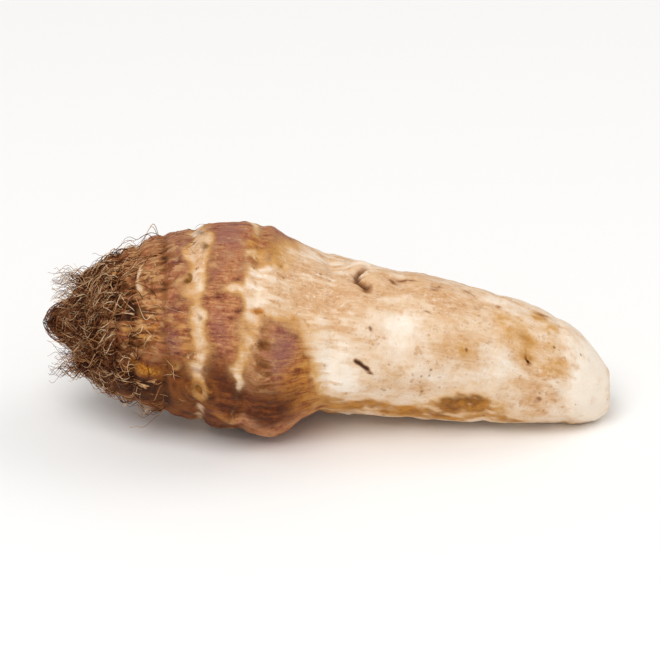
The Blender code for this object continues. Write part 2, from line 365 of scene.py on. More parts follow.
paint = {
    "sheath": [
        (43.0, 80, 0.3, 4.0, 12.0), (46.0, 122, 0.5, 6.5, 7.0), (47.0, 165, 0.6, 9.0, 12.0),
        (49.0, 250, 0.7, 9.0, 12.0), (39.4, 36, -0.95, 4.0, 6.5), (43.5, 14, -0.9, 4.8, 8.5),
        (46.5, 34, -0.6, 5.0, 10.0), (44.5, 47, -0.6, 4.5, 4.5), (37.4, 78, -0.3, 1.6, 7.0),
        (35.2, 67, 0.5, 1.8, 3.6), (33.6, 122, 1.0, 2.4, 7.0), (33.9, 90, -0.3, 1.0, 3.4),
        (24.0, 33, -0.5, 1.4, 1.8), (25.4, 124, 0.4, 2.4, 4.0), (47.0, -8, -0.35, 6.0, 11.0),
        (32.4, 40, -0.8, 2.8, 0.9), (36.2, 4, 0.9, 2.2, 6.5), (36.9, 17, 1.2, 1.8, 3.8),
        (21.8, 35, -0.5, 0.9, 1.4), (25.8, 10, -0.35, 2.6, 8.0), (13.2, 26, -0.8, 0.8, 4.2),
        (55.0, 84, -0.3, 4.0, 9.5), (50.6, 89, -0.35, 2.4, 7.0), (61.0, 205, 0.55, 9.0, 5.0),
        (76.0, 240, 0.5, 8.0, 5.0), (90.0, 200, 0.45, 7.0, 4.0), (70.0, 320, 0.35, 9.0, 4.0),
        (97.0, 285, 0.4, 5.0, 3.5),
    ],
    "tan": [
        (50.5, 14, 0.6, 7.0, 8.0), (25.8, 10, 0.9, 2.6, 8.0), (26.0, 27, 0.6, 2.4, 4.0),
        (54.5, 42, 0.75, 7.0, 6.0), (46.0, 40, 0.5, 4.0, 6.0), (43.5, 20, 0.6, 3.4, 6.0),
        (68.0, 7, 0.6, 8.0, 3.6), (75.0, 20, 0.8, 6.0, 4.5), (62.0, 24, 0.4, 5.0, 4.0),
        (76.5, 6, 0.6, 2.6, 1.6), (79.4, 61, 1.5, 3.6, 2.6), (84.0, -4, 0.3, 6.0, 4.0),
        (88.0, 26, 0.55, 3.8, 4.2), (92.5, 47, 0.55, 3.8, 3.6), (98.2, 57, 0.45, 4.4, 2.8),
        (95.0, 84, 0.4, 5.0, 6.0), (98.0, 64, 0.2, 4.0, 6.0), (98.3, 18, 0.6, 2.4, 1.8),
        (71.0, 98, 0.3, 5.0, 3.0), (72.0, 330, 0.6, 9.0, 6.0), (58.0, 262, 0.7, 8.0, 8.0),
        (86.0, 250, 0.6, 9.0, 6.0), (66.0, 180, 0.6, 14.0, 8.0), (100.0, 200, 0.5, 6.0, 6.0),
    ],
    "ochre": [
        (49.2, 94, 0.6, 2.2, 13.0), (37.6, 13, 1.1, 2.4, 3.6), (40.5, 3, 0.7, 5.0, 3.6),
        (98.3, 17, 0.9, 2.0, 1.6), (25.1, 62, 0.3, 2.4, 16.0), (26.9, 33, 0.5, 1.2, 2.5),
        (34.6, 78, 0.3, 2.4, 12.0), (51.0, 124, 1.2, 6.0, 4.2), (61.0, 126, 1.1, 7.0, 3.4),
        (70.0, 128, 0.8, 5.0, 2.6), (80.4, 113, 1.7, 6.4, 3.4), (76.0, 136, 0.9, 8.0, 3.0),
        (82.6, 91, 0.55, 3.4, 1.2), (90.0, 131, 0.8, 5.0, 2.4), (79.4, 61, 0.85, 3.2, 2.4),
        (88.7, 24, 0.6, 3.8, 3.4), (92.6, 44, 0.65, 4.0, 3.4), (97.4, 57, 0.6, 4.2, 2.0),
        (96.0, 2, 1.1, 2.2, 2.0), (99.0, 36, 0.5, 1.0, 1.0), (104.6, 30, 0.5, 0.9, 0.9),
        (61.0, 12, 0.45, 2.4, 2.0), (71.0, 12, 0.35, 2.6, 1.4), (78.6, 12, 0.4, 3.0, 1.6),
        (70.0, 215, 0.8, 6.0, 3.0), (82.0, 275, 0.8, 5.0, 3.0), (94.0, 240, 0.8, 4.0, 3.0),
        (102.0, 160, 0.7, 4.0, 3.0),
    ],
    "gold": [
        (36.8, 10, 0.9, 2.0, 7.0), (33.2, 92, 0.6, 1.2, 10.0), (27.6, 84, 0.7, 1.2, 9.0),
        (23.0, 82, 0.6, 1.1, 9.0), (48.3, 92, 1.2, 1.6, 13.0), (44.8, 100, 1.0, 3.2, 8.0),
        (30.0, 122, 0.6, 4.0, 4.0), (14.0, 64, 0.5, 5.0, 5.0), (21.0, 62, 0.4, 2.0, 4.0),
        (40.0, 110, 0.5, 3.0, 5.0), (46.0, 56, 0.5, 2.4, 4.0), (45.0, 300, 0.8, 3.0, 9.0),
        (23.0, 280, 0.6, 1.5, 9.0), (34.0, 215, 0.7, 2.0, 9.0),
    ],
    "mauve": [
        (19.5, 66, 0.9, 3.2, 7.0), (21.0, 12, 0.7, 3.0, 8.0), (31.0, 0, 0.9, 3.6, 7.0),
        (30.0, 62, 0.6, 3.0, 6.0), (29.6, 30, 0.6, 1.8, 3.0), (43.0, 66, 0.75, 3.4, 5.0),
        (41.5, 80, 0.6, 3.0, 4.0), (9.0, 60, 0.5, 4.0, 12.0), (30.5, 260, 0.9, 3.5, 9.0),
        (42.0, 330, 0.8, 4.0, 7.0), (18.0, 320, 0.8, 4.0, 8.0), (42.0, 220, 0.7, 4.0, 8.0),
        (20.0, 170, 0.6, 5.0, 8.0),
    ],
    # rust-brown stain, and painted shade low on the front and under the head; the negative ovals take this
    # painted shade off along the lower ridge's crest
    "rustAndShade": [
        (8.0, 112, 1.1, 9.0, 8.0), (20.0, 114, 1.3, 7.0, 9.0), (17.5, 104, 0.7, 4.5, 3.5),
        (31.0, 112, 1.2, 5.0, 9.0), (40.0, 114, 1.1, 5.0, 8.5), (45.0, 110, 0.15, 2.6, 5.0),
        (30.0, 152, 0.7, 18.0, 9.0), (29.5, 119, -0.8, 2.6, 1.6), (34.0, 125, -1.1, 3.6, 2.0),
        (41.0, 138, -1.1, 5.0, 3.6), (29.0, 86, 0.35, 4.0, 4.0), (20.0, 205, 0.6, 12.0, 12.0),
        (43.0, 190, 0.6, 6.0, 10.0), (12.0, 290, 0.5, 5.0, 7.0), (36.0, 320, 0.4, 5.0, 6.0),
    ],
    "olive": [
        (25.8, -5, 0.7, 1.5, 2.6), (26.5, 13, 0.9, 1.2, 1.6), (23.0, 34, 1.2, 0.6, 0.7),
        (25.7, 57, 0.75, 0.9, 1.1), (27.4, 31, 0.5, 1.2, 1.3), (38.3, 70, 0.9, 1.2, 1.3),
        (12.0, 38, 0.4, 3.0, 5.0), (26.0, 240, 0.8, 1.6, 3.0), (37.0, 290, 0.7, 1.6, 3.0),
    ],
    # dark marks, and painted shade: all round the crown under the fibre nest, low on the front of the head,
    # and under the orange bump
    "darkAndShade": [
        (38.2, 68, 0.35, 0.8, 0.9), (37.9, 51, 0.55, 0.8, 0.5), (58.4, 79, 1.2, 0.7, 0.6),
        (59.3, 81, 1.2, 0.7, 0.5), (60.2, 84, 1.0, 0.6, 0.5), (14.0, 118, 0.5, 8.0, 5.0),
        (14.0, 107, 0.7, 3.4, 1.2), (61.5, 56, 0.8, 0.5, 0.45), (80.0, 60, 0.8, 0.5, 0.5),
        (72.8, 34, 0.6, 1.2, 0.4), (73.4, 52, 0.5, 0.4, 0.4), (80.4, 38, 0.45, 0.4, 0.4),
        (93.3, 57, 0.9, 0.4, 1.6), (95.5, 98, 0.65, 0.9, 0.6), (99.6, 74, 0.5, 0.5, 0.4),
        (65.0, 76, 0.45, 0.35, 0.35), (63.7, 99, 0.4, 0.5, 0.4), (70.5, 91, 0.4, 0.35, 0.35),
        (65.4, 10, 0.8, 1.3, 0.5), (67.4, 7, 0.7, 1.4, 0.45), (69.6, 8, 0.6, 1.2, 0.4),
        (81.3, 2, 0.55, 1.3, 0.8), (87.5, 9, 0.45, 1.0, 0.6), (75.2, 8, 0.5, 1.3, 0.35),
        (10.0, 120, 0.4, 8.0, 7.0), (0.0, 0, 1.2, 5.0, 60.0), (16.0, 200, 0.3, 9.0, 14.0),
        (28.0, 262, 0.25, 3.0, 3.0), (20.5, 117, 0.35, 4.5, 5.0),
    ],
    # pale cream patches, and painted highlights: the streaks along the top edge
    "paleAndHighlight": [
        (54.0, 85, 0.8, 3.8, 8.6), (66.4, 48, 0.9, 4.6, 4.6), (37.9, 31, 0.6, 2.2, 5.0),
        (84.0, 84, 0.25, 8.0, 5.0), (88.0, 70, 0.4, 4.0, 3.0), (60.0, 40, 0.2, 4.0, 4.0),
        (105.5, 60, 0.7, 5.0, 12.0), (67.5, 3, 0.6, 2.4, 1.1), (72.5, 5, 0.5, 2.0, 0.9),
        (77.0, -5, 0.5, 3.0, 1.5), (85.5, 3, 0.55, 3.6, 1.6), (91.5, 13, 0.55, 2.2, 1.5),
        (108.0, 95, 0.9, 4.0, 14.0), (13.2, 26, 0.4, 0.7, 4.2), (67.0, 13, 0.4, 3.5, 1.0),
        (56.0, -9, 0.5, 10.0, 3.0),
    ],
    "callus": [
        (14.0, 95, 1.5, 3.3, 1.6), (37.6, 50, 1.5, 1.7, 1.1), (40.2, 68, 0.3, 2.0, 2.0),
        (52.0, 141, 0.4, 3.0, 3.0),
    ],
    "flaky": [
        (13.0, 58, 1.0, 7.0, 13.0), (8.0, 10, 0.9, 6.0, 12.0), (20.0, 10, 0.5, 4.0, 8.0),
        (14.0, 94, -1.0, 3.0, 2.6), (38.6, 84, 0.8, 2.4, 9.0), (29.0, 22, 0.4, 3.0, 7.0),
        (14.0, 250, 0.9, 8.0, 14.0), (26.0, 300, 0.5, 4.0, 12.0), (40.0, 290, 0.7, 6.0, 12.0),
        (38.0, 180, 0.6, 5.0, 12.0),
    ],
}
paintDetail = {  # how the ovals above are broken up, and what is painted by a rule
    "drift": 1.5,  # how far painted edges wander
    "driftRadius": 3.0,  # where the root is thinner than this, they wander no further round it
    "sheathStart": (-9.0, 0.5),  # where the sheath starts and ends, and how softly
    "sheathEnd": (48.0, 4.2),
    "sheathEndStreaks": 1.4,
    "sheathCover": 1.1,
    "sheathBlotches": (0.8, 0.2),  # within its ovals, and everywhere
    "paleRings": [  # a bare line: distance, half width, slant, where the slant peaks, strength
        (25.1, 2.25, 0.4, 80, 1.04),
        (34.1, 1.85, 2.8, 0, 1.05),
        (12.9, 0.6, 0.6, 300, 0.35),
        (18.3, 0.5, 0.7, 80, 0.3),
        (5.2, 0.5, 0.6, 200, 0.3),
    ],
    "ringWander": (0.7, 0.5),  # with the drift and with the flakes
    "ringPatches": (0.6, 0.2),  # of its width and of its strength
    "brushed": (66, 50),  # where the tan streaks have ended and where they are full
    "tanBlotches": (0.6, 0.3),  # within its ovals, and everywhere
    "tanStreaks": 0.9,
    "tanCover": 0.1,
    "ochreBlotches": 0.6,
    "crescents": {"darkAndShade": (1.0, 0.9), "rustAndShade": (0.7, 2.2)},  # painted shade in and beside the crevice: strength, and width beside the crevice's own
    "scars": [  # colour, which share of the scar, strength, and in scar radii the middle and width, sharpness
        ("ochre", "rim", 0.65, 0.0, 1.5, 4),
        ("callus", "rim", 0.3, 1.0, 0.6, 2),
        # a dark ring just outside the rim: painted shadow round the scar's mound
        ("darkAndShade", "rim", 0.3, 1.9, 0.35, 2),
        ("olive", "pit", 2.6, 0.0, 0.45, 4),
        ("darkAndShade", "pit", 1.0, 0.0, 0.3, 2),
    ],
    "bareScar": (0.6, 1.3),  # how much of the sheath a scar takes off, and how far out
    "darkRings": (4, 0.35),  # the first grooves, darkened with dirt and painted shade, and how dark it is
    "flakyStreaks": {"darkAndShade": (0.8, 0.0, -0.22), "gold": (0.6, 0.04, 0.22)},  # strength, start and full; the dark is painted shade in the troughs between the flaky ridges
    "flakyCover": 0.25,
    "flakeEdge": (0.0, 0.16),
    "most": 1.4,  # no colour is painted stronger
}


def paintSheath(skin, along, angle, drift, blotches, flakes):
    start, startSoftness = paintDetail["sheathStart"]
    end, endSoftness = paintDetail["sheathEnd"]
    streaked = along + paintDetail["sheathEndStreaks"] * skin["streaks"]
    rise = smoothStep(start - startSoftness, start + startSoftness, along)
    fall = smoothStep(end + endSoftness, end - endSoftness, streaked)
    bare = 0
    patchy = skinField(skin, "patches")
    driftShare, flakeShare = paintDetail["ringWander"]
    widthPatches, strengthPatches = paintDetail["ringPatches"]
    for distance, halfWidth, slant, slantPeak, strength in paintDetail["paleRings"]:
        ring = distance + slant * np.cos(np.radians(angle - slantPeak))
        offset = skin["along"] + driftShare * drift + flakeShare * flakes - ring
        share = np.exp(-(offset / (halfWidth * (1 + widthPatches * patchy))) ** 2)
        bare = bare + strength * (1 + strengthPatches * patchy) * share
    within, everywhere = paintDetail["sheathBlotches"]
    cover = skin["sheath"] * (1 + within * blotches) + paintDetail["sheathCover"] * rise * fall - bare
    skin["sheath"] = np.clip(cover + everywhere * blotches, 0, 1)


def paintMarks(skin, blotches):  # crevices with painted shade in and beside them, root scars with a painted shadow round them, and dirt and painted shade in the first grooves
    # painted shade in each crevice and beside it
    for *place, width, _, darkness in skinDetail["crescents"]:
        for name, (strength, spread) in paintDetail["crescents"].items():
            skin[name] += strength * darkness * crescentShare(skin, *place, spread * width)
    bareStrength, bareWidth = paintDetail["bareScar"]
    for distance, turn, size, *_, rimColour, pitDarkness in scars:
        away = awayFromScar(skin, distance, turn)
        shares = {"rim": rimColour, "pit": pitDarkness}
        for name, part, strength, middle, width, sharpness in paintDetail["scars"]:
            band = np.exp(-((away - middle * size) / (width * size)) ** sharpness)
            skin[name] += strength * shares[part] * band
        skin["sheath"] *= 1 - bareStrength * rimColour * np.exp(-(away / (bareWidth * size)) ** 4)
    ringCount, grooveDirtAndShade = paintDetail["darkRings"]
    for distance, _, *groovePlace in rootForm["rings"][:ringCount]:
        groove = ringShare(skin["along"], skin["angle"], distance, *groovePlace)[1]
        skin["darkAndShade"] += grooveDirtAndShade * groove * (1 + blotches)


def paintSkin(skin):
    drift = paintDetail["drift"] * skinField(skin, "lengthwiseDrift")
    sideways = paintDetail["drift"] * skinField(skin, "sidewaysDrift")
    along = skin["along"] + drift
    angle = skin["angle"] + np.degrees(sideways / np.maximum(skin["radius"], paintDetail["driftRadius"]))
    for name, patches in paint.items():
        skin[name] = sumPatches(patches, along, angle, skin["radius"])
    streaks = skin["streaks"] = skinField(skin, "streaks")
    blotches = skinField(skin, "blotches")
    flakes = skinField(skin, "flakes")
    paintSheath(skin, along, angle, drift, blotches, flakes)
    brushed = smoothStep(*paintDetail["brushed"], along)
    within, everywhere = paintDetail["tanBlotches"]
    tan = skin["tan"] * (1 + within * blotches) + everywhere * blotches
    tan = tan + paintDetail["tanStreaks"] * brushed * streaks + paintDetail["tanCover"]
    skin["tan"] = np.clip(tan, 0, 1)
    skin["ochre"] = skin["ochre"] * (1 + paintDetail["ochreBlotches"] * blotches)
    paintMarks(skin, blotches)
    skin["rough"] = np.clip(skin["flaky"], 0, 1) * skin["sheath"]
    for name, (strength, start, full) in paintDetail["flakyStreaks"].items():
        skin[name] += strength * skin["rough"] * smoothStep(start, full, streaks)
    flaky = np.clip(skin["flaky"] + paintDetail["flakyCover"], 0, 1)
    skin["flaky"] = flaky * smoothStep(*paintDetail["flakeEdge"], flakes) * skin["sheath"]
    for name in paint:
        skin[name] = np.clip(skin[name], 0, paintDetail["most"])


def makeSkin():
    rows, columns = rootForm["rows"], rootForm["columns"]
    grid = bmesh.new()
    bmesh.ops.create_uvsphere(grid, u_segments=columns, v_segments=rows, radius=1.0)
    sphere = np.array([vert.co for vert in grid.verts])
    row = np.rint(np.arccos(np.clip(sphere[:, 2], -1, 1)) / math.pi * rows)
    walked = row / rows * outline[-1, 0]
    skin = {"angle": np.degrees(np.arctan2(sphere[:, 1], sphere[:, 0]))}
    for column, name in enumerate(("along", "radius", "height"), start=1):
        skin[name] = np.interp(walked, outline[:, 0], outline[:, column])
    turn = np.radians(skin["angle"])
    grainRadius = np.minimum(skinDetail["grainRadius"], skinDetail["grainSpread"] * skin["radius"])
    skin["grain"] = np.column_stack([walked, grainRadius * np.cos(turn), grainRadius * np.sin(turn)])
    paintSkin(skin)
    base = formRelief(skin["along"], skin["angle"], skin["radius"])
    plain = placeOnForm(skin["along"], skin["angle"], skin["radius"], skin["height"], base)
    centring = np.array([rootLength - cadBounds[1].x / mm, (plain[:, 1].min() + plain[:, 1].max()) / 2, 0])
    relief = base + fineRelief(skin)
    places = placeOnForm(skin["along"], skin["angle"], skin["radius"], skin["height"], relief) - centring
    places[:, 2] = np.maximum(places[:, 2], 0)  # it lies on its flats
    for vert, place in zip(grid.verts, places):
        vert.co = Vector(place) * mm
    bmesh.ops.recalc_face_normals(grid, faces=grid.faces)
    mesh = meshFrom("taroSkin", grid)
    for name in paint:
        mesh.attributes.new(name, "FLOAT", "POINT").data.foreach_set("value", skin[name].astype(np.float32))
    grain = mesh.attributes.new("grain", "FLOAT_VECTOR", "POINT")
    grain.data.foreach_set("vector", skin["grain"].astype(np.float32).ravel())
    mesh.shade_smooth()
    return addObject("taroSkin", mesh), centring, gridOfPlaces(row, skin["angle"], places)


def gridOfPlaces(row, angle, places):  # the skin's places by row and column, for what lies on it
    rows, columns = rootForm["rows"], rootForm["columns"]
    grid = np.zeros((rows + 1, columns, 3))
    column = np.rint(angle / 360 * columns).astype(int) % columns
    grid[row.astype(int), column] = places
    for pole in (0, rows):
        grid[pole] = places[row == pole][0]
    return grid


# Materials

def hexColour(text):  # sRGB to linear, by the standard's own curve
    channels = [int(text[place:place + 2], 16) / 255 for place in (1, 3, 5)]
    linear = [value / 12.92 if value <= 0.04045 else ((value + 0.055) / 1.055) ** 2.4 for value in channels]
    return linear + [1.0]


def addNode(tree, kind, settings=None, sockets=None, output=0):  # the new node's output socket
    node = tree.nodes.new(kind)
    for name, value in (settings or {}).items():
        setattr(node, name, value)
    for name, value in (sockets or {}).items():
        if isinstance(value, bpy.types.NodeSocket):
            tree.links.new(value, node.inputs[name])
        else:
            node.inputs[name].default_value = value
    return node.outputs[output] if node.outputs else node


def newMaterial(name):  # and its empty node tree
    material = bpy.data.materials.new(name)
    material.use_nodes = True
    material.node_tree.nodes.clear()
    return material, material.node_tree


def fillRamp(ramp, stops):  # stops: place, hex colour
    while len(ramp.elements) < len(stops):
        ramp.elements.new(0.5)
    for element, (place, colour) in zip(ramp.elements, stops):
        element.position = place
        element.color = hexColour(colour)


def weightedSum(tree, signals, terms):
    total = 0.0
    for source, weight in terms.items():
        total = addNode(tree, "ShaderNodeMath", {"operation": "MULTIPLY_ADD"}, {
            0: signals[source], 1: weight, 2: total})
    return total


skinLook = {
    "patterns": {  # length and width of the blobs, detail, roughness
        "cloud": (11.0, 11.0, 3, 0.5),
        "mottle": (2.6, 2.6, 6, 0.68),
        "freckle": (0.95, 0.95, 4, 0.6),
        "fine": (0.45, 0.45, 3, 0.6),
        "streak": (6.0, 0.9, 4, 0.6),
        "thread": (3.4, 0.34, 3, 0.6),
        "scale": (1.7, 0.5, 3, 0.6),
    },
    "specks": (1.9, 0.5, 0.34),  # cell, radius, softness
    "speckWander": 0.3,  # how far the freckles move a speck's edge
    "ramps": {  # what adds up to the place on the ramp, then place and colour
        "creamRamp": ({"cloud": 0.35, "mottle": 0.4, "freckle": 0.15, "streak": 0.1}, [
            (0.38, "#d3ac84"), (0.45, "#ebceae"), (0.53, "#f6e4cf"), (0.60, "#fef5e9")]),
        "sheathRamp": ({"streak": 0.3, "thread": 0.15, "mottle": 0.5, "cloud": 0.3, "freckle": 0.25,
                        "one": -0.25}, [
            (0.35, "#5f2c1c"), (0.43, "#97563a"), (0.50, "#b9774e"), (0.56, "#d09363"), (0.65, "#ecc89c")]),
        "stainRamp": ({"mottle": 0.6, "cloud": 0.4}, [
            (0.40, "#6c3a00"), (0.50, "#985a04"), (0.60, "#c38222")]),
        # rust-brown stain and painted shade, dark and saturated
        "rustAndShadeRamp": ({"streak": 0.5, "mottle": 0.5}, [
            (0.40, "#3e1502"), (0.50, "#5e2706"), (0.62, "#8a4815")]),
        "goldRamp": ({"streak": 0.5, "mottle": 0.5}, [
            (0.40, "#8f4a14"), (0.50, "#bd7a2e"), (0.60, "#d39a4a")]),
        "knobRamp": ({"mottle": 0.6, "freckle": 0.4}, [
            (0.42, "#9c5a14"), (0.50, "#c47c24"), (0.58, "#dca24a")]),
        "pitRamp": ({"freckle": 1.0}, [(0.4, "#623808"), (0.6, "#8c5c1c")]),
    },
    "masks": [  # name, where it starts and is full, what adds up to it, and the masks that it stays within
        # pale cream, and painted highlights along the top edge
        ("palenessAndHighlight", 0.25, 0.95, {"paleAndHighlight": 1.0, "mottle": 0.3, "one": -0.15}, []),
        ("film", -0.1, 0.65, {"tan": 1.0, "mottle": 1.0, "cloud": 0.7, "streak": 0.1, "paleAndHighlight": -0.5,
                              "one": -0.82}, []),
        ("scurf", 0.52, 0.63, {"scale": 0.6, "freckle": 0.4}, ["film"]),
        ("scuffs", 0.47, 0.37, {"scale": 0.6, "freckle": 0.4}, ["film"]),
        ("tanning", 0.35, 1.2, {"tan": 1.0, "mottle": 1.0, "freckle": 0.5, "paleAndHighlight": -0.5, "one": -0.62}, []),
        ("freckles", 0.52, 0.64, {"freckle": 0.75, "mottle": 0.25, "film": 0.06, "paleAndHighlight": -0.05,
                                  "one": -0.05}, []),
        ("amber", 0.05, 0.95, {"ochre": 1.0, "mottle": 1.0, "freckle": 0.3, "one": -0.65}, []),
        ("stain", 0.45, 1.2, {"ochre": 1.0, "mottle": 1.0, "freckle": 0.3, "one": -0.65}, []),
        ("fringe", -0.02, 0.5, {"sheath": 1.0, "thread": 0.3, "mottle": 0.5, "one": -0.4}, []),
        ("covered", 0.36, 1.0, {"sheath": 1.0, "thread": 0.35, "mottle": 0.5, "fine": 0.2,
                                "one": -0.525}, []),
        ("bruised", 0.47, 0.62, {"cloud": 0.45, "mottle": 0.35, "streak": 0.2}, ["covered"]),
        ("mauved", 0.1, 1.0, {"mauve": 1.0, "mottle": 0.6, "streak": 0.6, "one": -0.6}, ["covered"]),
        ("golden", 0.1, 1.0, {"gold": 1.0, "mottle": 0.6, "streak": 0.6, "one": -0.6}, ["covered"]),
        ("gilded", 0.50, 0.66, {"scale": 0.5, "streak": 0.5}, ["covered"]),
        ("darkThreads", 0.44, 0.32, {"thread": 0.7, "fine": 0.3}, ["covered"]),
        # pale sheath threads, strong enough to be painted glints too
        ("paleThreadsAndGlints", 0.57, 0.68, {"thread": 0.7, "fine": 0.3}, ["covered"]),
        ("flakes", 0.25, 0.75, {"flaky": 1.0, "scale": 0.5, "one": -0.25}, []),
        # rust-brown stain and painted shade low on the head
        ("rustedAndShaded", 0.1, 1.0, {"rustAndShade": 1.0, "mottle": 0.7, "streak": 0.3, "one": -0.5}, ["fringe"]),
        ("knobbed", 0.2, 1.2, {"callus": 1.0, "mottle": 1.2, "one": -0.6}, []),
        ("mossed", 0.2, 0.95, {"olive": 1.0, "mottle": 0.8, "one": -0.4}, []),
        # dark marks and painted shade, from the dark ovals: brown where weak, near black where strong
        ("brownMarksAndShade", 0.05, 0.6, {"darkAndShade": 1.0, "mottle": 0.5, "one": -0.25}, []),
        ("darkestMarksAndShade", 0.4, 1.1, {"darkAndShade": 1.0, "mottle": 0.5, "one": -0.25}, []),
        ("flecks", 0.47, 0.35, {"freckle": 0.75, "mottle": 0.25}, ["tanning"]),
        ("kept", 1.62, 1.82, {"chosen": 1.0, "cloud": 1.6, "paleAndHighlight": -0.2}, []),
        ("speckled", 0.0, 1.0, {"dot": 1.0}, ["kept"]),
    ],
    "layers": [  # from the bottom up: mask, colour, strength
        # pale cream, and painted highlights along the top edge
        ("palenessAndHighlight", "#fdf0df", 0.85),
        ("film", "#dfb68a", 0.8),
        ("tanning", "#d6a87c", 0.9),
        ("scuffs", "#b98652", 0.5),
        ("scurf", "#f4ddc2", 0.6),
        ("freckles", "#ab7340", 0.5),
        ("flecks", "#f8e2c8", 0.8),
        ("amber", "#dfae6a", 0.75),
        ("stain", "stainRamp", 0.92),
        ("fringe", "#cf9650", 0.8),
        ("covered", "sheathRamp", 1.0),
        ("bruised", "#84503f", 0.5),
        ("mauved", "#935b56", 0.8),
        ("golden", "goldRamp", 0.85),
        ("gilded", "#cf9459", 0.5),
        ("darkThreads", "#55291a", 0.28),
        # pale sheath threads, strong enough to be painted glints too
        ("paleThreadsAndGlints", "#e6bd8e", 0.42),
        ("flakes", "#d6a670", 0.55),
        # rust-brown stain and painted shade low on the head
        ("rustedAndShaded", "rustAndShadeRamp", 0.93),
        ("knobbed", "knobRamp", 0.95),
        ("mossed", "pitRamp", 0.9),
        ("speckled", "#8a5024", 0.6),
        # dark marks and painted shade: brown where weak, near black where strong
        ("brownMarksAndShade", "#8c5222", 0.75),
        ("darkestMarksAndShade", "#33170a", 0.92),
    ],
    "shine": 0.12,
    "roughness": {"covered": 0.02, "rustedAndShaded": 0.08, "mottle": 0.16, "one": 0.36},
    "height": {  # in millimetres
        "streakRelief": 0.30, "threadRelief": 0.26, "fineRelief": 0.12, "covered": 0.05, "mottle": 0.20,
        "freckle": 0.14, "fine": 0.05, "flakes": 0.12, "speckled": -0.08, "darkestMarksAndShade": -0.10,
    },
    "reliefs": {  # patterns that stand proud on the sheath alone
        "streakRelief": "streak", "threadRelief": "thread", "fineRelief": "fine",
    },
}


# Living cork skin: satin cream, with dull fibrous brown sheath left on it in bands
def freshTaroSkinMaterial():
    material, tree = newMaterial("freshTaroSkin")
    place = addNode(tree, "ShaderNodeTexCoord", output="Object")
    grain = addNode(tree, "ShaderNodeAttribute", {"attribute_name": "grain"}, output="Vector")
    inMm = addNode(tree, "ShaderNodeMapping", sockets={"Vector": place, "Scale": (1 / mm,) * 3})
    signals = {"one": 1.0}
    for name in paint:
        signals[name] = addNode(tree, "ShaderNodeAttribute", {"attribute_name": name}, output="Fac")
    for name, (length, width, detail, roughness) in skinLook["patterns"].items():
        scaled = addNode(tree, "ShaderNodeMapping", sockets={
            "Vector": grain if length > width else inMm, "Scale": (1 / length, 1 / width, 1 / width)})
        signals[name] = addNode(tree, "ShaderNodeTexNoise", sockets={
            "Vector": scaled, "Scale": 1.0, "Detail": detail, "Roughness": roughness})

    cell, radius, softness = skinLook["specks"]
    wander = skinLook["speckWander"]
    middle = wander / 2  # the freckles' own average share
    cellColour = addNode(tree, "ShaderNodeTexVoronoi", sockets={
        "Vector": inMm, "Scale": 1 / cell}, output="Color")
    signals["chosen"] = addNode(tree, "ShaderNodeSeparateColor", sockets={"Color": cellColour})
    away = addNode(tree, "ShaderNodeMath", {"operation": "MULTIPLY_ADD"}, {
        0: signals["freckle"], 1: wander, 2: cellColour.node.outputs["Distance"]})
    signals["dot"] = addNode(tree, "ShaderNodeMapRange", {"interpolation_type": "SMOOTHSTEP"}, {
        "Value": away, "From Min": middle + radius / cell, "From Max": middle + (radius - softness) / cell})

    for name, start, full, terms, within in skinLook["masks"]:
        mask = addNode(tree, "ShaderNodeMapRange", {"interpolation_type": "SMOOTHSTEP"}, {
            "Value": weightedSum(tree, signals, terms), "From Min": start, "From Max": full})
        for other in within:
            mask = addNode(tree, "ShaderNodeMath", {"operation": "MULTIPLY"}, {0: mask, 1: signals[other]})
        signals[name] = mask
    for name, source in skinLook["reliefs"].items():
        signals[name] = addNode(tree, "ShaderNodeMath", {"operation": "MULTIPLY"}, {
            0: signals[source], 1: signals["covered"]})

    ramps = {}
    for name, (terms, stops) in skinLook["ramps"].items():
        total = weightedSum(tree, signals, terms)
        ramps[name] = addNode(tree, "ShaderNodeValToRGB", sockets={"Fac": total})
        fillRamp(ramps[name].node.color_ramp, stops)

    colour = ramps["creamRamp"]
    for name, shade, strength in skinLook["layers"]:
        share = addNode(tree, "ShaderNodeMath", {"operation": "MULTIPLY"}, {0: signals[name], 1: strength})
        over = ramps[shade] if shade in ramps else hexColour(shade)
        colour = addNode(tree, "ShaderNodeMix", {"data_type": "RGBA"}, {
            0: share, 6: colour, 7: over}, output=2)

    roughness = weightedSum(tree, signals, skinLook["roughness"])
    height = weightedSum(tree, signals, skinLook["height"])
    bump = addNode(tree, "ShaderNodeBump", sockets={"Height": height, "Distance": mm, "Strength": 1.0})
    shader = addNode(tree, "ShaderNodeBsdfPrincipled", sockets={
        "Base Color": colour, "Roughness": roughness, "Specular IOR Level": skinLook["shine"],
        "Normal": bump})
    addNode(tree, "ShaderNodeOutputMaterial", sockets={"Surface": shader})
    return material


skinPiece, centring, skinGrid = makeSkin()
skinPiece.data.materials.append(freshTaroSkinMaterial())
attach(skinPiece, "root")
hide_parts("taro_root")
print("skin made:", len(skinPiece.data.polygons), "faces")


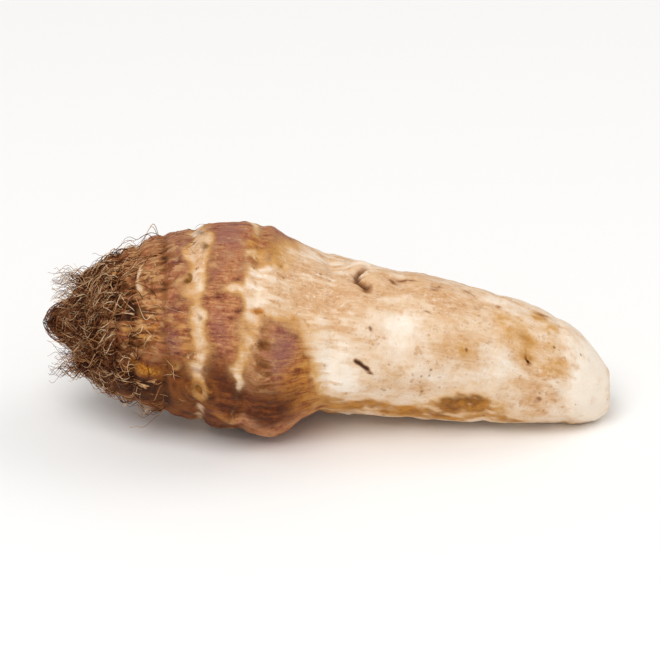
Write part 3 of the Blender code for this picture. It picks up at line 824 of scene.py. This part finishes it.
# Crown fibres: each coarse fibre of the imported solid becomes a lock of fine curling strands

strandRoom = {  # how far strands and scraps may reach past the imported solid's box, and how near the floor
    "crown": 2.5,
    "tip": 2.0,
    "sides": 0.9,
    "floor": 0.3,
}
crownFibres = {
    "seed": 11,
    "perRing": [9, 11, 13, 11],
    "reach": [10.0, 11.5, 12.0, 9.5],
    "lengthSpread": (0.75, 1.1),
    "lift": 1.9,
    "liftSpread": (0.5, 1.3),
    "liftLength": 0.83,
    "scatter": 6.0,
    "twist": 26.0,
    "leastAlong": 2.0,
    "goldenAngle": 137.508,
    "rootDepth": 0.5,
    "head": (0.3, 48.5),  # the stretch of the outline that they lie over
    "strandSeed": 29,
    "strandsPerLock": [30, 22, 10, 4],  # on each ring
    "strandThickness": 0.22,
    "strandTaper": 0.7,
    "strandPoints": 20,
    "strandLength": (0.55, 1.08),  # shares of the lock's length
    "strandLift": (0.4, 0.6),  # shares of its lift: what each strand has, and what is drawn
    "strandTwist": 14,
    "rootSpread": 1.1,
    "tipSpread": 1.9,
    "spreadRadius": 12.0,
    "curlSize": 0.8,
    "curlSpread": (0.4, 1.8),
    "curlLength": 6.0,
    "curlTurns": (0.6, 1.5),
    "curlOnset": 3,
    "deepest": -0.3,
}

headStart, headEnd = crownFibres["head"]
headOutline = outline[(outline[:, 1] >= headStart) & (outline[:, 1] <= headEnd)]


def placesOverHead(along, angle, clear):  # places over the head, this far clear of the skin
    nearest = np.maximum(along, crownFibres["leastAlong"])
    radius = np.interp(nearest, headOutline[:, 1], headOutline[:, 2])
    height = np.interp(nearest, headOutline[:, 1], headOutline[:, 3])
    relief = formRelief(nearest, angle, radius)
    places = placeOnForm(nearest, angle, radius, height, relief) - centring
    sideways = np.full(len(places), -centring[1])
    middle = np.column_stack([places[:, 0], sideways, height - rootForm["restSink"]])
    outward = places - middle
    places += outward / np.linalg.norm(outward, axis=1)[:, None] * clear[:, None]
    places[:, 0] = np.maximum(along - centring[0], cadBounds[0].x / mm - strandRoom["crown"])
    places[:, 2] = np.maximum(places[:, 2], strandRoom["floor"])
    return places


def lockGuides():  # distance, angle, length, twist and lift of the lock that each strand is in
    draw = random.Random(crownFibres["seed"])
    guides = []
    for ring, count, reach in zip(rootForm["rings"], crownFibres["perRing"], crownFibres["reach"]):
        for index in range(count):
            scatter = crownFibres["scatter"]
            stray = len(guides) * crownFibres["goldenAngle"] % (2 * scatter) + draw.uniform(-scatter, scatter)
            length = reach * draw.uniform(*crownFibres["lengthSpread"])
            twist = draw.uniform(-crownFibres["twist"], crownFibres["twist"])
            lift = crownFibres["lift"] * draw.uniform(*crownFibres["liftSpread"])
            guides.append((ring[0], index * 360 / count + stray, length, twist, lift))
    strands = np.repeat(crownFibres["strandsPerLock"], crownFibres["perRing"])
    return [guide for guide, count in zip(guides, strands) for strand in range(count)]


def strandPath(draw, guide):  # distance, angle and clearance of each point of one strand
    distance, angle, length, twist, lift = guide
    length *= draw.uniform(*crownFibres["strandLength"])
    aside = draw.gauss(0, 1)
    outwards = abs(draw.gauss(0, 1))
    phase = draw.uniform(0, 2 * math.pi)
    curl = crownFibres["curlSize"] * draw.uniform(*crownFibres["curlSpread"])
    curlTurns = length / crownFibres["curlLength"] * draw.uniform(*crownFibres["curlTurns"])
    twist += draw.gauss(0, crownFibres["strandTwist"])
    leastLift, drawnLift = crownFibres["strandLift"]
    points = []
    for step in range(crownFibres["strandPoints"]):
        share = step / (crownFibres["strandPoints"] - 1)
        spread = crownFibres["rootSpread"] + (crownFibres["tipSpread"] - crownFibres["rootSpread"]) * share
        swing = curl * min(share * crownFibres["curlOnset"], 1)
        turn = phase + 2 * math.pi * curlTurns * share
        rise = lift * math.sin(math.pi / 2 * min(share / crownFibres["liftLength"], 1))
        rise *= leastLift + drawnLift * outwards
        clear = rise + swing * math.cos(turn) if step else -crownFibres["rootDepth"]
        around = (aside * spread + swing * math.sin(turn)) / crownFibres["spreadRadius"]
        along = distance - length * share
        turned = angle + twist * share + math.degrees(around)
        points.append((along, turned, max(clear, crownFibres["deepest"])))
    return points


strandWeld = 0.001 * mm


# One mesh of many thin tapering tubes, each in a tone of its own
def strandPiece(name, routes, follow, thickness, taper, shades):
    flat = np.array(routes).reshape(-1, 3)
    paths = follow(*flat.T).reshape(len(routes), -1, 3)
    curve = bpy.data.curves.new(name, "CURVE")
    curve.dimensions = "3D"
    curve.bevel_depth = thickness / 2 * mm
    curve.bevel_resolution = 0
    curve.use_fill_caps = True
    for path in paths:
        spline = curve.splines.new("POLY")
        spline.points.add(len(path) - 1)
        for index, (point, place) in enumerate(zip(spline.points, path)):
            point.co = (*(Vector(place) * mm), 1.0)
            point.radius = 1 - taper * index / (len(path) - 1)
    guide = addObject(name + "Guide", curve)
    graph = bpy.context.evaluated_depsgraph_get()
    mesh = bpy.data.meshes.new_from_object(guide.evaluated_get(graph))
    bpy.data.objects.remove(guide, do_unlink=True)
    grid = bmesh.new()
    grid.from_mesh(mesh)
    bpy.data.meshes.remove(mesh)
    bmesh.ops.remove_doubles(grid, verts=grid.verts, dist=strandWeld)
    bmesh.ops.recalc_face_normals(grid, faces=grid.faces)
    mesh = meshFrom(name, grid)
    perStrand = len(mesh.vertices) // len(paths)
    tones = random.Random(len(paths))
    tone = np.repeat([tones.uniform(*shades) for path in paths], perStrand)
    toneLayer = mesh.attributes.new("tone", "FLOAT", "POINT")
    toneLayer.data.foreach_set("value", np.resize(tone, len(mesh.vertices)).astype(np.float32))
    mesh.shade_smooth()
    return addObject(name, mesh)


fibreLook = {
    # from near black, partly painted shade between the strands of the nest, to straw
    "tones": [(0.0, "#220803"), (0.3, "#572710"), (0.55, "#8f5630"), (0.8, "#c3905f"), (1.0, "#eed2aa")],
    "roughness": 0.66,
    "shine": 0.12,
    "patchSize": 5.0,
    "patchStrength": 1.1,
}


# Dead leaf-sheath strands: dull, dark where damp with soil, with the darkest strands also painted shade
# between the strands of the nest, and straw-coloured where dry
def driedSheathFibreMaterial():
    material, tree = newMaterial("driedSheathFibre")
    place = addNode(tree, "ShaderNodeTexCoord", output="Object")
    tone = addNode(tree, "ShaderNodeAttribute", {"attribute_name": "tone"}, output="Fac")
    patches = addNode(tree, "ShaderNodeTexNoise", sockets={
        "Vector": place, "Scale": 1 / (fibreLook["patchSize"] * mm), "Detail": 3.0})
    strength = fibreLook["patchStrength"]
    spread = addNode(tree, "ShaderNodeMath", {"operation": "MULTIPLY_ADD"}, {
        0: patches, 1: strength, 2: tone})
    shifted = addNode(tree, "ShaderNodeMath", {"operation": "SUBTRACT"}, {0: spread, 1: strength / 2})
    colour = addNode(tree, "ShaderNodeValToRGB", sockets={"Fac": shifted})
    fillRamp(colour.node.color_ramp, fibreLook["tones"])
    shader = addNode(tree, "ShaderNodeBsdfPrincipled", sockets={
        "Base Color": colour, "Roughness": fibreLook["roughness"], "Specular IOR Level": fibreLook["shine"]})
    addNode(tree, "ShaderNodeOutputMaterial", sockets={"Surface": shader})
    return material


fibreMaterial = driedSheathFibreMaterial()
strandDraw = random.Random(crownFibres["strandSeed"])
crownRoutes = [strandPath(strandDraw, guide) for guide in lockGuides()]
crownPiece = strandPiece("crownFibres", crownRoutes, placesOverHead, crownFibres["strandThickness"],
                         crownFibres["strandTaper"], (0.0, 1.0))
crownPiece.data.materials.append(fibreMaterial)
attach(crownPiece, "root")
print("crown fibres made:", len(crownPiece.data.polygons), "faces")


# Strands that wander over the finished skin

def normalsOf(grid):
    around = np.roll(grid, -1, axis=1) - np.roll(grid, 1, axis=1)
    normals = np.cross(around, np.gradient(grid, axis=0))
    normals[:2] = (-1, 0, 0)
    normals[-2:] = (1, 0, 0)
    return normals / np.maximum(np.linalg.norm(normals, axis=2), 1e-9)[..., None]


skinNormals = normalsOf(skinGrid)


def placesOnSkin(walked, angle, clear):  # places this far clear of the finished skin
    rows, columns = rootForm["rows"], rootForm["columns"]
    down = np.clip(walked / outline[-1, 0], 0, 1) * rows
    across = angle % 360 / 360 * columns
    top = np.minimum(down.astype(int), rows - 1)
    left = across.astype(int) % columns
    right = (left + 1) % columns
    downShare = (down - top)[:, None]
    acrossShare = (across - np.floor(across))[:, None]
    blended = []
    for grid in (skinGrid, skinNormals):
        upper = grid[top, left] * (1 - acrossShare) + grid[top, right] * acrossShare
        lower = grid[top + 1, left] * (1 - acrossShare) + grid[top + 1, right] * acrossShare
        blended.append(upper * (1 - downShare) + lower * downShare)
    places = blended[0] + blended[1] * clear[:, None]
    low, high = np.array(cadBounds) / mm
    lowest = np.array([low[0] - strandRoom["crown"], low[1] - strandRoom["sides"], strandRoom["floor"]])
    highest = high + (strandRoom["tip"], strandRoom["sides"], strandRoom["sides"])
    return np.clip(places, lowest, highest)


strandStray = {  # how the strands of one tuft differ
    "root": 0.7,
    "heading": 16,
    "bend": 0.3,  # share of the tuft's own bend
    "curl": (0.3, 1.4),
    "curlLength": (0.7, 1.6),
    "leastRadius": 2.5,  # nearer the axis than this, they turn round it no faster
}


def wanderRoutes(look):  # walked length, angle and clearance of every point of every strand
    draw = np.random.default_rng(look["seed"])
    tufts = [count for distance, spread, count in look["roots"]]
    tuft = np.repeat(np.arange(sum(tufts)), look["perTuft"])
    total = len(tuft)
    middles = np.interp(np.repeat([root[0] for root in look["roots"]], tufts), outline[:, 1], outline[:, 0])
    spreads = np.repeat([root[1] for root in look["roots"]], tufts)
    starts = (middles + draw.normal(0, 1, sum(tufts)) * spreads)[tuft]
    walked = np.abs(starts + draw.normal(0, strandStray["root"], total))
    angle = draw.uniform(0, 360, sum(tufts))[tuft] + draw.normal(0, look["tuftSpread"], total)
    heading = draw.normal(look["heading"], look["headingSpread"], sum(tufts))[tuft]
    heading = heading + draw.normal(0, strandStray["heading"], total)
    length = draw.uniform(*look["length"], total)
    step = length / (look["points"] - 1)
    bend = draw.normal(0, look["bend"], sum(tufts))[tuft]
    bend = bend + draw.normal(0, strandStray["bend"] * look["bend"], total)
    curl = draw.uniform(*strandStray["curl"], total) * look["curl"]
    phase = draw.uniform(0, 360, total)
    turns = 360 * length / (look["curlLength"] * draw.uniform(*strandStray["curlLength"], total))
    lift = draw.uniform(*look["lift"], total) ** look["liftPower"]
    routes = []
    for number in range(look["points"]):
        share = number / (look["points"] - 1)
        rise = lift * math.sin(math.pi * look["arch"] * share)
        routes.append((walked, angle, rise if number else np.full(total, -look["rootDepth"])))
        turned = np.radians(heading + bend * share + curl * np.sin(np.radians(phase + turns * share)))
        walked = np.abs(walked + step * np.cos(turned))
        radius = np.maximum(np.interp(walked, outline[:, 0], outline[:, 2]), strandStray["leastRadius"])
        angle = angle + np.degrees(step * np.sin(turned) / radius)
    return np.array(routes).transpose(2, 0, 1)


crownMat = {  # short curling strands every way, thick round the bud and thin on the head
    "seed": 41,
    "roots": [  # distance, spread, how many tufts
        (1.0, 3.0, 64),
        (5.5, 3.0, 56),
        (10.0, 3.0, 14),
        (17.0, 4.0, 3),
    ],
    "perTuft": 11,
    "tuftSpread": 9.0,
    "length": (4.0, 13.0),
    "heading": 180,
    "headingSpread": 60,
    "bend": 80,
    "curl": 40,
    "curlLength": 6.0,
    "lift": (0.15, 1.7),
    "liftPower": 1.3,
    "arch": 0.75,
    "rootDepth": 0.2,
    "points": 14,
    "thickness": 0.17,
    "taper": 0.6,
    "shades": (0.0, 1.0),
}
budBrush = {  # straighter strands that close round the shoot bud
    "seed": 17,
    "roots": [(1.2, 1.6, 60)],
    "perTuft": 8,
    "tuftSpread": 12.0,
    "length": (5.0, 12.0),
    "heading": 180,
    "headingSpread": 16,
    "bend": 20,
    "curl": 28,
    "curlLength": 5.0,
    "lift": (0.2, 2.0),
    "liftPower": 1.2,
    "arch": 0.6,
    "rootDepth": 0.2,
    "points": 12,
    "thickness": 0.2,
    "taper": 0.7,
    "shades": (0.0, 0.9),
}
skinHairs = {  # fine dry hairs on the brown bands, thickest along the rings
    "seed": 53,
    "roots": [(23.0, 2.0, 30), (29.0, 3.0, 20), (17.0, 4.0, 100)],
    "perTuft": 1,
    "tuftSpread": 0.0,
    "length": (1.5, 5.5),
    "heading": 180,
    "headingSpread": 34,
    "bend": 40,
    "curl": 22,
    "curlLength": 4.0,
    "lift": (0.05, 0.8),
    "liftPower": 2.0,
    "arch": 0.7,
    "rootDepth": 0.05,
    "points": 6,
    "thickness": 0.09,
    "taper": 0.5,
    "shades": (0.35, 0.95),
}
for pieceName, look in (("crownMat", crownMat), ("budBrush", budBrush), ("skinHairs", skinHairs)):
    routes = wanderRoutes(look)
    piece = strandPiece(pieceName, routes, placesOnSkin, look["thickness"], look["taper"], look["shades"])
    piece.data.materials.append(fibreMaterial)
    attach(piece, "root")
    print(pieceName, "made:", len(piece.data.polygons), "faces")


# Papery scraps of sheath, held at one end and curling up at the other

sheathFlakes = {
    "seed": 61,
    "roots": [(14.0, 3.5, 44), (7.0, 3.0, 30), (26.8, 0.6, 9)],
    "length": (2.0, 5.5),
    "width": (0.8, 2.4),
    "heading": 180,
    "headingSpread": 24,
    "lift": (0.05, 0.5),
    "liftPower": 1.6,
    "curl": 0.08,
    "ragged": 0.2,
    "narrowing": 0.5,
    "rootDepth": 0.1,
    "thickness": 0.07,
    "cells": (6, 4),
}
paperLook = {
    "tones": [(0.30, "#6b3f2a"), (0.45, "#a06a45"), (0.55, "#c6935f"), (0.70, "#e3bf8e")],
    "roughness": 0.55,
    "shine": 0.2,
    "patchSize": 1.3,
    "patchHeight": 0.2,
}


def makeFlakes():
    look = sheathFlakes
    draw = np.random.default_rng(look["seed"])
    sheet = bmesh.new()
    half = 0.5  # each scrap starts as a sheet one unit long and wide
    lengthCells, widthCells = look["cells"]
    spots = []
    for distance, spread, count in look["roots"]:
        for number in range(count):
            made = bmesh.ops.create_grid(sheet, x_segments=lengthCells, y_segments=widthCells, size=half)
            walked = np.interp(distance + draw.normal(0, spread), outline[:, 1], outline[:, 0])
            angle = draw.uniform(0, 360)
            radius = np.interp(walked, outline[:, 0], outline[:, 2])
            heading = math.radians(draw.normal(look["heading"], look["headingSpread"]))
            length, width = draw.uniform(*look["length"]), draw.uniform(*look["width"])
            lift = draw.uniform(*look["lift"])
            for vert in made["verts"]:
                free = vert.co.x + half
                side = vert.co.y * (1 - look["narrowing"] * free ** 2)
                reach = length * free * (1 + look["ragged"] * draw.uniform(-1, 1) * free)
                forward = reach * math.cos(heading) - width * side * math.sin(heading)
                across = reach * math.sin(heading) + width * side * math.cos(heading)
                rise = lift * free ** look["liftPower"] + look["curl"] * (side / half) ** 2 * free
                turned = angle + math.degrees(across / radius)
                spots.append((walked + forward, turned, rise - look["rootDepth"]))
    for vert, place in zip(sheet.verts, placesOnSkin(*np.array(spots).T)):
        vert.co = Vector(place) * mm
    bmesh.ops.solidify(sheet, geom=sheet.faces[:], thickness=look["thickness"] * mm)
    bmesh.ops.recalc_face_normals(sheet, faces=sheet.faces)
    mesh = meshFrom("sheathFlakes", sheet)
    mesh.shade_smooth()
    return addObject("sheathFlakes", mesh)


# Dead sheath skin, thin as paper: golden where it is clean, brown where it is stained
def driedSheathPaperMaterial():
    material, tree = newMaterial("driedSheathPaper")
    place = addNode(tree, "ShaderNodeTexCoord", output="Object")
    patches = addNode(tree, "ShaderNodeTexNoise", sockets={
        "Vector": place, "Scale": 1 / (paperLook["patchSize"] * mm), "Detail": 4.0})
    colour = addNode(tree, "ShaderNodeValToRGB", sockets={"Fac": patches})
    fillRamp(colour.node.color_ramp, paperLook["tones"])
    bump = addNode(tree, "ShaderNodeBump", sockets={
        "Height": patches, "Distance": paperLook["patchHeight"] * mm, "Strength": 1.0})
    shader = addNode(tree, "ShaderNodeBsdfPrincipled", sockets={
        "Base Color": colour, "Roughness": paperLook["roughness"], "Specular IOR Level": paperLook["shine"],
        "Normal": bump})
    addNode(tree, "ShaderNodeOutputMaterial", sockets={"Surface": shader})
    return material


flakePiece = makeFlakes()
flakePiece.data.materials.append(driedSheathPaperMaterial())
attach(flakePiece, "root")
print("flakes made:", len(flakePiece.data.polygons), "faces")


# Floor, light and camera

stage = {  # in metres, degrees and watts
    "floorSize": 4.0,
    "floorColour": "#fbfaf8",
    "floorRoughness": 0.9,
    "worldStrength": 0.5,
    "keyPlace": (-0.25, -0.5, 1.0),
    "keySize": 0.7,
    "keyPower": 7.6,
    "fillPlace": (0.7, 0.3, 0.8),
    "fillSize": 0.6,
    "fillPower": 2.0,
    "target": (0.0, 0.0, 0.020),
    "elevation": 30,
    "cameraDistance": 1.0,
    "frameWidth": 0.138,
    "filmWidth": 36,  # millimetres, as lenses are given
    "nearest": 0.05,
}


def makeFloor():
    grid = bmesh.new()
    bmesh.ops.create_grid(grid, x_segments=1, y_segments=1, size=stage["floorSize"] / 2)
    mesh = meshFrom("studioFloor", grid)
    floor = addObject("studioFloor", mesh)
    material = bpy.data.materials.new("mattPaperSweep")
    material.use_nodes = True
    shader = material.node_tree.nodes["Principled BSDF"]
    shader.inputs["Base Color"].default_value = hexColour(stage["floorColour"])
    shader.inputs["Roughness"].default_value = stage["floorRoughness"]
    mesh.materials.append(material)


def makeLight(name, place, size, power):
    lamp = bpy.data.lights.new(name, "AREA")
    lamp.size = size
    lamp.energy = power
    light = addObject(name, lamp)
    light.location = place
    light.rotation_euler = (Vector(stage["target"]) - Vector(place)).to_track_quat("-Z", "Y").to_euler()


def makeWorld():
    world = bpy.data.worlds.new("studioAir")
    world.use_nodes = True
    background = world.node_tree.nodes["Background"]
    background.inputs["Color"].default_value = (1, 1, 1, 1)
    background.inputs["Strength"].default_value = stage["worldStrength"]
    bpy.context.scene.world = world


def makeCamera():
    lens = bpy.data.cameras.new("camera")
    lens.sensor_width = stage["filmWidth"]
    lens.lens = lens.sensor_width * stage["cameraDistance"] / stage["frameWidth"]
    lens.clip_start = stage["nearest"]
    camera = addObject("camera", lens)
    tilt = math.radians(stage["elevation"])
    back = Vector((0, -math.cos(tilt), math.sin(tilt)))
    camera.location = Vector(stage["target"]) + back * stage["cameraDistance"]
    camera.rotation_euler = (-back).to_track_quat("-Z", "Y").to_euler()
    bpy.context.scene.camera = camera


makeFloor()
makeWorld()
makeLight("keyLight", stage["keyPlace"], stage["keySize"], stage["keyPower"])
makeLight("fillLight", stage["fillPlace"], stage["fillSize"], stage["fillPower"])
makeCamera()
bpy.context.scene.view_settings.view_transform = "Standard"
print("stage made")
